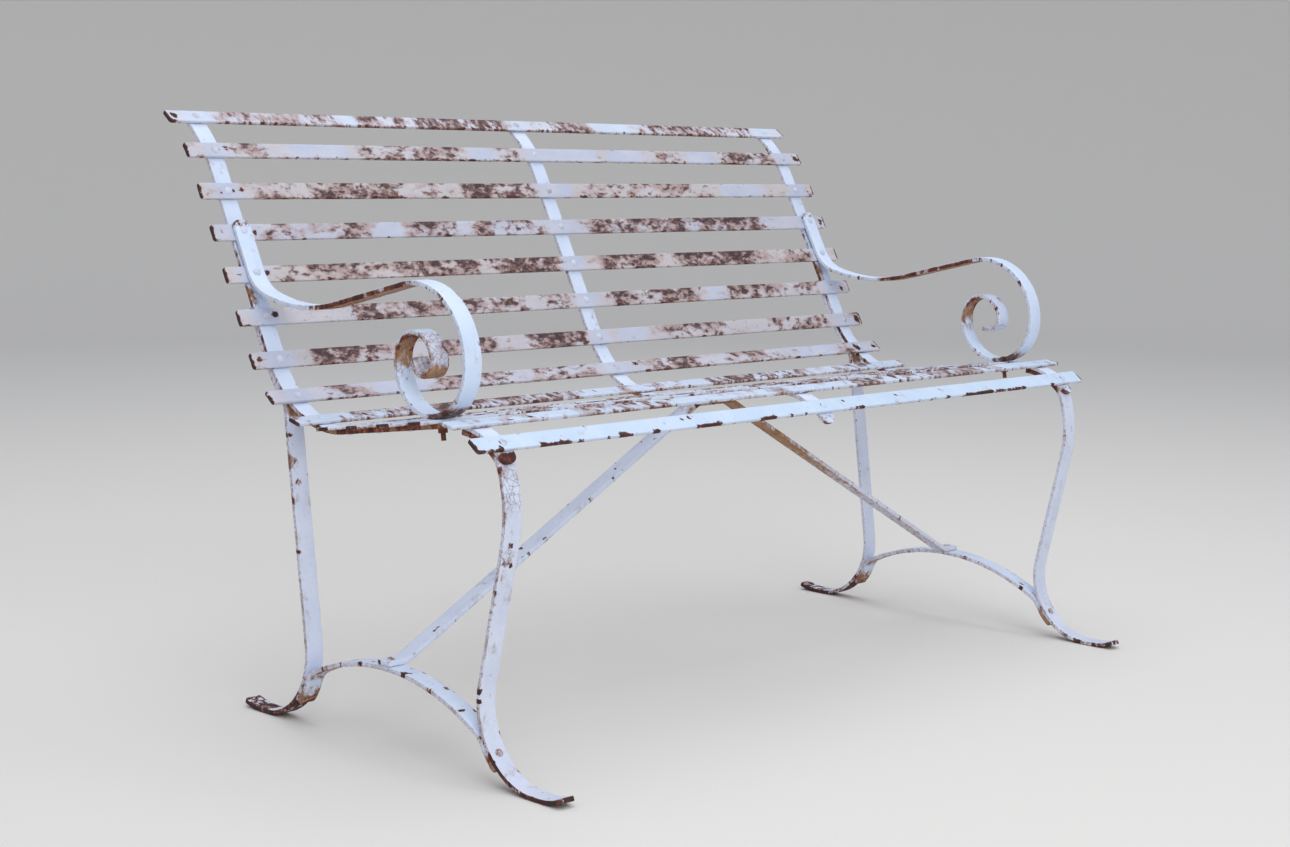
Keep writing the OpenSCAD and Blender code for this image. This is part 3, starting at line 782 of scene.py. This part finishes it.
# %% Wear on the slats
RAILS = ("left_rail", "centre_rail", "right_rail")
RAIL_PLACES = [sum(v.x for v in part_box(n)) / 2 for n in RAILS]
RAIL_BORDER = (36 * MM, 12 * MM)
CLUSTER_SOFT = 2 * CM
CLEAN_SOFT = CM
CLEAN_FRESH = 0.75
CLEAN_SHARE = 0.9
RAGGED = 16 * MM
RAGGED_LEN = 22 * MM
RAGGED_ACROSS = 1.4
RAGGED_ROWS = 3.7
EDGE_CHIP_REACH = 3.4 * MM
EDGE_CHIP_RAGGED = 3 * MM
EDGE_CHIP_SOFT = 1.5 * MM
EDGE_CHIP_ENDS = 2 * MM
SLAT_WEIGHTS = {
    "all": (0, 0, 0, 0),
    "exposed": (0.06, 0, 0, 0),
    "old_coat": (0, 0.22, 0, 0),
    "rusty": (0.25, 0, 0, 0),
    "bleeding": (0, 0.75, 0, 0),
    "dotted": (0.7, 0, 0, 0),
    "line": (1.0, 0, 0, 0),
    "low_edge": (0, 0, 0.12, 0),
    "ends": (0.9, 0, 0, 0),
    "chips": (0.85, 0, 0, 0),
    "under": (0.14, 0.2, 0.22, 0),
    "newest": (0, 0, 0, 1.0),
}


def weigh(weights, **amounts):
    """Chip, stain, ochre and fresh: each amount of wear times its row of weights, added up."""
    total = list(weights["all"])
    for name, amount in amounts.items():
        for i, weight in enumerate(weights[name]):
            total[i] += amount * weight
    return total


def front_edge_chips(spot, width):
    """Long chips along the lower edge of the front slat, from 0 to 1."""
    reach = EDGE_CHIP_REACH + EDGE_CHIP_RAGGED * ripple(spot.place.x, DOT_LEN, 0.5)
    low = fade((1 + spot.across) * width / 2, reach + EDGE_CHIP_SOFT, reach - EDGE_CHIP_SOFT)
    return low * max(stretch(spot.place.x, a * CM, b * CM, EDGE_CHIP_ENDS) for a, b in FRONT_EDGE_CHIPS)


def slat_wear(spot, node, seed, width):
    """The wear numbers of a point on a slat."""
    row = SURVEY[node]
    x = spot.place.x
    old_paint = node != FRONT_SLAT
    ragged = x + RAGGED * ripple(x, RAGGED_LEN, RAGGED_ACROSS * spot.across, RAGGED_ROWS * seed)
    beside_rail = max(fade(abs(ragged - place), *RAIL_BORDER) for place in RAIL_PLACES)
    spared = max((stretch(ragged, a * CM, b * CM, CLEAN_SOFT) for a, b in row.clean), default=0.0)
    clean = max(beside_rail, spared)
    rusty = max((s * stretch(x, a * CM, b * CM, CLUSTER_SOFT) for a, b, s in row.clusters), default=0.0)
    under = fade(spot.face, 0.2, -0.6)
    low_edge = spot.edge * fade(spot.across, 0.5, -0.9)
    ends = fade_mm(min(spot.along, spot.left), 3.5, 0.5)
    chips = max((blot(math.hypot(x - a * MM, (spot.across - b) * width / 2), r * MM)
                 for a, b, r in row.chips), default=0.0)
    if node == FRONT_SLAT:
        chips = max(chips, front_edge_chips(spot, width))
    exposed = 1 - CLEAN_SHARE * clean * (1 - under)
    lifted = 0.85 + 0.15 * spot.across
    from_rail = 1 - beside_rail
    return weigh(
        SLAT_WEIGHTS, exposed=exposed, rusty=rusty * exposed, old_coat=exposed * old_paint,
        bleeding=rusty * lifted * exposed * old_paint, dotted=dots(spot, seed, share=0.1) * from_rail,
        line=row.line * low_edge * from_rail, low_edge=low_edge, ends=ends * (1 - spared), chips=chips,
        under=under, newest=max(row.fresh, CLEAN_FRESH * clean) * (1 - 0.6 * under))


print("rails cross the slats at", [round(x / MM) for x in RAIL_PLACES], "mm")

# %% [markdown]
# With the rule in hand the fifteen slats are rolled in one loop: rungs, bar, dents, wear. The points
# are looked up before the dents move them, so that the dents don't blur where an arris lies. The top
# slat lies on the roll of the back and looks like the seat's slats, so it takes their finish.

# %% Roll the slats
SLAT_CORNER = 4 * MM
for seed, node in enumerate(SURVEY):
    rungs, width = slat_rungs(node)
    bm = roll_bar(rungs, width, SLAT_ARRIS, SLAT_CORNER)
    found = spots(bm, rungs, width)
    dent(bm, seed)
    wear = [slat_wear(spot, node, seed, width.length) for spot in found]
    slot = "stained_slats" if node.startswith("back") else "painted_slats"
    upright = node.startswith("back") and node != "back_slat_1"
    make_piece(bm, node, back_enamel if upright else seat_enamel, wear)
print("slats:", len(SURVEY))

# %% [markdown]
# The straps are the bench's skeleton, bent cold from heavier bar. Each kind wears in its own way, so
# each has a rule of its own. The rails first: their faces towards the sitter stay white, while their
# narrow sides, the part under the seat and the rounded front end have rusted red. Rules read a point's
# facing, which is its surface direction, because the bends turn one face from front to top.

# %% Wear on the rails
PATCH_LEN = 55 * MM
PATCH_ROWS = 2.7
PATCH_ROW = 0.3
PATCH_RANGE = (-0.15, 0.25)
RailRust = namedtuple("RailRust", "end side dots shelter")
RAIL_RUST = {
    "left_rail": RailRust(end=1.0, side=0.7, dots=0.12, shelter=1),
    "centre_rail": RailRust(end=0.35, side=0.15, dots=0.05, shelter=0),
    "right_rail": RailRust(end=0.5, side=1.0, dots=0.12, shelter=1),
}
RAIL_WEIGHTS = {
    "all": (0.02, 0.05, 0, 0.9),
    "dotted": (0.85, 0, 0, 0),
    "side": (0.05, 0.15, 0, -0.6),
    "rusty_side": (0.3, 0.5, 0, 0),
    "patched_side": (0.4, 0, 0, 0),
    "damp": (0.25, 0, 0.85, 0),
    "under": (0.45, 0.5, 0.5, -0.5),
    "behind": (0.12, 0.4, 0, -0.5),
    "end": (0.9, 0.3, 0.5, 0),
    "shelter": (0, 0.6, 0.45, 0),
}


def patches(spot, seed):
    """Where along a bar rust has taken hold, from 0 to 1, in lengths of a few centimetres."""
    return fade(ripple(spot.along, PATCH_LEN, seed * PATCH_ROWS, PATCH_ROW), *PATCH_RANGE)


def beside(spot):
    """How squarely a point faces sideways, from 0 to 1."""
    return fade(abs(spot.facing.x), 0.4, 0.9)


def rail_wear(spot, node, seed):
    """The wear numbers of a point on a rail."""
    rust = RAIL_RUST[node]
    seat = fade_mm(spot.place.y, 110, 70)
    side = beside(spot)
    behind_lip = fade_mm(spot.along, 60, 95)
    rusty_side = side * rust.side * fade_mm(spot.place.z, 640, 580) * behind_lip
    # A brown stain on the left of the rail's front face, partly painted shade of the arm in front of it.
    shelter = rust.shelter * stretch(spot.place.z, 535 * MM, 560 * MM, 10 * MM)
    return weigh(
        RAIL_WEIGHTS, dotted=dots(spot, seed, rust.dots), side=side, rusty_side=rusty_side,
        patched_side=rusty_side * patches(spot, seed), damp=side * seat * behind_lip,
        under=seat * fade(-spot.facing.z, 0.2, 0.7), behind=(1 - seat) * fade(spot.facing.y, 0.2, 0.6),
        end=rust.end * fade_mm(spot.along, 16, 9), shelter=shelter * fade(-spot.across, -0.2, 0.9))


print("kinds of wear on a rail:", len(RAIL_WEIGHTS))

# %% [markdown]
# The arms are the cleanest bars, because hands and sleeves polish them. Rain has crept along their
# undersides, though: below the rising part and inside the curl the paint has turned ochre. At the
# foot of the scroll, where it curves up from the slat, the paint is darkened by dirt and by painted
# shade of the gap there, and the end of the curl still has an older, speckled coat, most of all on
# the left arm.

# %% Wear on the arms
SCROLL_Z = 485 * MM
CURL_Y = -111 * MM
CURL_FACE = 33.5 * MM
CURL_DIRT = {"left_arm": 1.0, "right_arm": 0.4}
CURL_DRIP = {"left_arm": 1.0, "right_arm": 0.2}
ARM_WEIGHTS = {
    "all": (0.01, 0.04, 0, 1.0),
    "dotted": (0.9, 0, 0, 0),
    "side": (0.08, 0.15, 0, -0.3),
    "rising": (0.65, 0, 0.5, 0),
    "front": (0.3, 0, 0, 0),
    "ramp": (0.45, 0.4, 1.0, 0),
    "soaked": (0.2, 0.45, 0.75, 0),
    "scorched": (0.45, 0, 0, 0),
    "end": (0.1, 0.3, 0, -0.7),
    "drip": (0, 0, 0.9, 0),
    "foot": (0.35, 0.8, 0, -0.5),
    "tip": (0.3, 0.3, 0, 0),
}


def arm_wear(spot, node, seed):
    """The wear numbers of a point on an arm."""
    place, facing = spot.place, spot.facing
    up, back = place.z - SCROLL_Z, place.y - CURL_Y
    side = beside(spot)
    end = fade_mm(spot.along, 105, 90)
    drip = end * fade_mm(up, 10, -14) * fade_mm(back, -18, -26)
    inside = fade(math.hypot(back, up), CURL_FACE + MM, CURL_FACE - MM) * fade_mm(spot.along, 52, 62)
    soaked = inside * fade_mm(up, -36, 14) * fade_mm(back, -12, 0)
    above = fade_mm(place.z, 530, 540)
    ramp = above * fade(-facing.z, 0.6, 0.85) * fade(-facing.y, -0.06, 0.02)
    rising = above * side * fade_mm(place.y, -125, -85) * fade_mm(place.y, 110, 75)
    front = above * side * fade_mm(place.y, -85, -125)
    # The scroll's foot is darkened by dirt and by painted shade of the gap below it.
    foot = fade_mm(place.z, 440, 428) * fade_mm(place.y, -138, -146)
    return weigh(
        ARM_WEIGHTS, dotted=dots(spot, seed, share=0.16), side=side, rising=rising, front=front, ramp=ramp,
        soaked=soaked, scorched=soaked * fade_mm(up, 4, 28), end=CURL_DIRT[node] * end,
        drip=CURL_DRIP[node] * drip, foot=foot, tip=fade_mm(spot.left, 16, 7))


print("arms:", len(CURL_DIRT), "with curls", 2 * CURL_FACE / MM, "mm across")

# %% [markdown]
# Legs wear from the ground up: soles and toes are bare and brown, and damp has crept up the narrow
# sides. The single marks on three of the legs are listed, as for the slats: how far from the bar's
# middle, how high and how large, in millimetres, and how bare, stained and orange.

# %% Wear on the legs
STRAP_HALF = 12.7 * MM
LEG_SIDE = {"left": 1.0, "right": 0.5}
FRONT_TOE = (14 * MM, 4 * MM)
REAR_TOE = (75 * MM, 45 * MM)
# Rust on the rear legs' tops behind the rail, made darker as painted shade.
SHADED_RUST_BEHIND_RAIL = (0, 408, 18, 0.35, 0.5, 0.85)
LEG_MARKS = {
    "left_front_leg": [
        (-3, 286, 6, 1.0, 0.2, 0), (-3, 272, 12, 0, 0.45, 0), (4, 262, 4, 1.0, 0, 0),
        (3, 350, 40, 0, 0.2, 0), (-13, 372, 8, 0.6, 0.4, 0.3), (-6, 215, 50, 0, 0.05, 0),
        (-12, 110, 5, 1.0, 0, 0), (-12, 99, 4, 1.0, 0, 0)],
    "left_rear_leg": [
        SHADED_RUST_BEHIND_RAIL, (-10, 374, 5, 1.0, 0, 0), (-3, 314, 7, 0.75, 0.4, 0.6),
        (-13, 340, 14, 0.4, 0.4, 0.4), (-13, 293, 9, 0.4, 0.2, 0.2), (-11, 226, 4, 0.8, 0.2, 0.3)],
    "right_rear_leg": [SHADED_RUST_BEHIND_RAIL, (6, 330, 5, 0.8, 0.2, 0)],
}
LEG_WEIGHTS = {
    "all": (0.015, 0.08, 0, 0.6),
    "dotted": (0.9, 0, 0, 0),
    "side": (0.1, 0.25, 0, -0.35),
    "sole": (0.8, 0.4, 0.15, 0),
    "low_side": (0.75, 0.3, 0.2, -0.3),
    "toe": (0.65, 0, 0, 0),
    "hidden": (0.75, 0.4, 0.7, 0),
}


def leg_wear(spot, node, seed):
    """The wear numbers of a point on a leg."""
    hand, rear = node.split("_")[0], "rear" in node
    z = spot.place.z
    side = beside(spot) * LEG_SIDE[hand]
    wear = weigh(
        LEG_WEIGHTS, dotted=dots(spot, seed, share=0.07), side=side,
        sole=fade(-spot.facing.z, 0.1, 0.5) * fade_mm(z, 90, 30),
        low_side=side * fade_mm(z, 60, 40), toe=fade(spot.along, *(REAR_TOE if rear else FRONT_TOE)),
        hidden=0.0 if rear else fade_mm(spot.left, 75, 60))
    for aside, height, radius, *amounts in LEG_MARKS.get(node, []):
        away = math.hypot(spot.across * STRAP_HALF - aside * MM, z - height * MM)
        for i, amount in enumerate(amounts):
            wear[i] += amount * blot(away, radius * MM)
    return wear


print("marks on", len(LEG_MARKS), "legs")

# %% [markdown]
# The stretchers have rusted underneath and where they meet the feet, and have small chips all over.
# The brace is the odd one: water has run down its right half from the middle rail.

# %% Wear on the stretchers and the brace
STRETCHER_WEIGHTS = {
    "all": (0.02, 0.06, 0, 0.9),
    "dotted": (0.9, 0, 0, 0),
    "pocked": (0.8, 0, 0, 0),
    "side": (0.04, 0.18, 0.15, -0.6),
    "patched_side": (0.14, 0, 0, 0),
    "under": (0.3, 0.45, 0.3, -0.4),
    "end": (0.45, 0.4, 0.5, -0.4),
}
BRACE_WEIGHTS = {
    "all": (0.02, 0.1, 0, 0.7),
    "dotted": (0.9, 0, 0, 0),
    "pocked": (0.9, 0, 0, 0),
    "right": (0, 0, 0, -0.25),
    "wet": (0, 0.25, 0, -0.35),
    "under": (0, 0.12, 0.2, -0.3),
    "right_under": (0, 0, 0.1, 0),
    "wet_under": (0.15, 0, 0.6, 0),
    "wet_front": (0, 0, 0.6, 0),
    "top": (0.25, 0.3, 0.5, 0),
}


def stretcher_wear(spot, node, seed):
    """The wear numbers of a point on a stretcher."""
    side = beside(spot)
    return weigh(
        STRETCHER_WEIGHTS, dotted=dots(spot, seed, share=0.1), pocked=pocks(spot, seed), side=side,
        patched_side=side * patches(spot, seed), under=fade(-spot.facing.z, 0.3, 0.8),
        end=fade_mm(min(spot.along, spot.left), 36, 12))


def brace_wear(spot, node, seed):
    """The wear numbers of a point on the brace, whose right half has rusted."""
    x = spot.place.x
    right = fade_mm(x, -20, 60)
    wet = right * fade_mm(x, 360, 110)
    under = fade(-spot.facing.z, 0.3, 0.7)
    return weigh(
        BRACE_WEIGHTS, dotted=dots(spot, seed, share=0.08), pocked=pocks(spot, seed), right=right, wet=wet,
        under=under, right_under=under * right, wet_under=under * wet,
        wet_front=fade(-spot.facing.y, 0.4, 0.9) * wet, top=fade_mm(abs(x), 70, 35))


print("kinds of wear on the brace:", len(BRACE_WEIGHTS))

# %% [markdown]
# With the rules in hand, the twelve straps are rolled in one loop: ladder, bar, rounded ends, dents,
# wear. A table pairs each kind of strap with its rule and the radii of its lower and upper end.

# %% Roll the straps
Y_AXIS = Vector((0, 1, 0))
LEGS = ("left_front_leg", "right_front_leg", "left_rear_leg", "right_rear_leg")
STRAPS = {
    "rail": (rail_wear, (11 * MM, 4 * MM), RAILS),
    "arm": (arm_wear, (4 * MM, 9 * MM), ("left_arm", "right_arm")),
    "leg": (leg_wear, (5 * MM, 4 * MM), LEGS),
    "stretcher": (stretcher_wear, (4 * MM, 4 * MM), ("left_stretcher", "right_stretcher")),
    "brace": (brace_wear, (4 * MM, 4 * MM), ("brace",)),
}
seed = len(SURVEY)
for rule, radii, nodes in STRAPS.values():
    for node in nodes:
        seed += 1
        side = 1 if node == "brace" else 0
        low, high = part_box(node)
        width = (X_AXIS, Y_AXIS)[side] * (high[side] - low[side])
        rungs = even_rungs(ladder(node, side), STRAP_SPACING)
        bm = roll_bar(rungs, width, STRAP_ARRIS)
        found = spots(bm, rungs, width)
        round_ends(bm, found, width, radii)
        dent(bm, seed)
        make_piece(bm, node, strap_enamel, [rule(spot, node, seed) for spot in found])
print("straps:", seed - len(SURVEY))

# %% [markdown]
# The bolts and nuts under the arms have lost their paint and are bare rusted iron: a brown crust with
# small dark pits. No wear number is read here, so two noises and a Bump node are enough.

# %% Rusted iron
CRUST = 4 * MM
GRIT = 0.8 * MM
CRUST_DEPTH = 0.4 * MM
CRUST_TONES = ("#4A2C22", "#8A5232")
PIT_TONE = "#2C1C18"


def rusted_iron(name):
    """Bare iron under a crust of rust."""
    material, tree, surface = new_material(name)
    place = add(tree, "TexCoord", {}, {}).outputs["Object"]
    crust = add(tree, "TexNoise", {},
                {"Vector": place, "Scale": 1 / CRUST, "Detail": 6.0, "Roughness": 0.65}).outputs[0]
    grit = add(tree, "TexNoise", {}, {"Vector": place, "Scale": 1 / GRIT, "Detail": 3.0}).outputs[0]
    brown = blend(tree, remap(tree, crust, 0.35, 0.65), *CRUST_TONES)
    skin = blend(tree, remap(tree, grit, 0.55, 0.7, 0.0, 0.7), brown, PIT_TONE)
    height = maths(tree, "MULTIPLY_ADD", grit, 0.4, crust)
    bump = add(tree, "Bump", {}, {"Strength": 0.8, "Distance": CRUST_DEPTH, "Height": height}).outputs[0]
    cover(tree, surface, skin, rough=0.9, Normal=bump)
    return material


crusted = rusted_iron("rusted_iron")
print("rusted iron of", len(crusted.node_tree.nodes), "nodes")

# %% [markdown]
# Rivets hold the bars together: short rods whose ends were hammered to low domes and then painted over
# many times, so that most of them hardly show. Their CAD nodes already have the domes, so a merged
# copy of each serves. The rivets near the ground keep the straps' enamel, but it is more worn there
# than on the bars, and the bolts and nuts are bare. The rivets on the back are darkened as painted
# shade, and those on the front slat get a painted shadow rim.

# %% Rivets, bolts and nuts
CREASE = math.radians(35)
FRONT_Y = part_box(FRONT_SLAT)[1].y + 4 * MM
BACK_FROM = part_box("back_slat_8")[0].z
SHADOW_RING = (3.5 * MM, 5.5 * MM)
BACK_STAIN_AND_SHADE = 0.2
BACK_DULLED_AND_SHADED = 0.5


def smooth_copy(node):
    """A merged copy of a CAD node, with its sharp edges marked."""
    bm = bmesh.new()
    bm.from_mesh(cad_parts[node].data)
    bmesh.ops.remove_doubles(bm, verts=bm.verts, dist=MERGE)
    bmesh.ops.dissolve_degenerate(bm, edges=bm.edges, dist=MERGE)
    for edge in bm.edges:
        edge.smooth = edge.calc_face_angle(0.0) < CREASE
    return bm


def rivet_wear(place, chip, stain, ochre, fresh):
    """The wear numbers of a point on a rivet: a painted shadow rim of bare rust on the front slat, older
    paint and painted shade on the back.
    """
    aside = min(abs(place.x - x) for x in RAIL_PLACES)
    # Painted shadow: a dark rim of bare rust round the sides of the front slat's rivet heads.
    shadow_ring = fade(aside, *SHADOW_RING) if place.y < FRONT_Y else 0.0
    # On the back the rivets take more wash and less of the newest coat: older paint, and painted shade that
    # keeps their lit domes from shining.
    upright = fade(place.z, BACK_FROM, BACK_FROM + CM)
    return chip + shadow_ring, stain + BACK_STAIN_AND_SHADE * upright, ochre, fresh * (1 - BACK_DULLED_AND_SHADED * upright)


PAINTED_RIVETS = ("left_slat_rivets", "centre_slat_rivets", "right_slat_rivets")
LOW_RIVETS = ("left_stretcher_rivets", "right_stretcher_rivets", "brace_rivets")
BARE = ("left_arm_bolt", "right_arm_bolt", "left_arm_nut", "right_arm_nut")
FASTENERS = (
    (PAINTED_RIVETS, "painted_rivets", seat_enamel, (0.05, 0.08, 0.0, 0.9)),
    (LOW_RIVETS, "rusty_fasteners", strap_enamel, (0.3, 0.5, 0.3, 0.4)),
    (BARE, "rusty_fasteners", crusted, (1.0, 0.5, 0.5, 0.0)),
)
for nodes, slot, material, wear in FASTENERS:
    for node in nodes:
        bm = smooth_copy(node)
        make_piece(bm, node, material, [rivet_wear(v.co, *wear) for v in bm.verts])
print("fasteners:", sum(len(row[0]) for row in FASTENERS), "pieces")
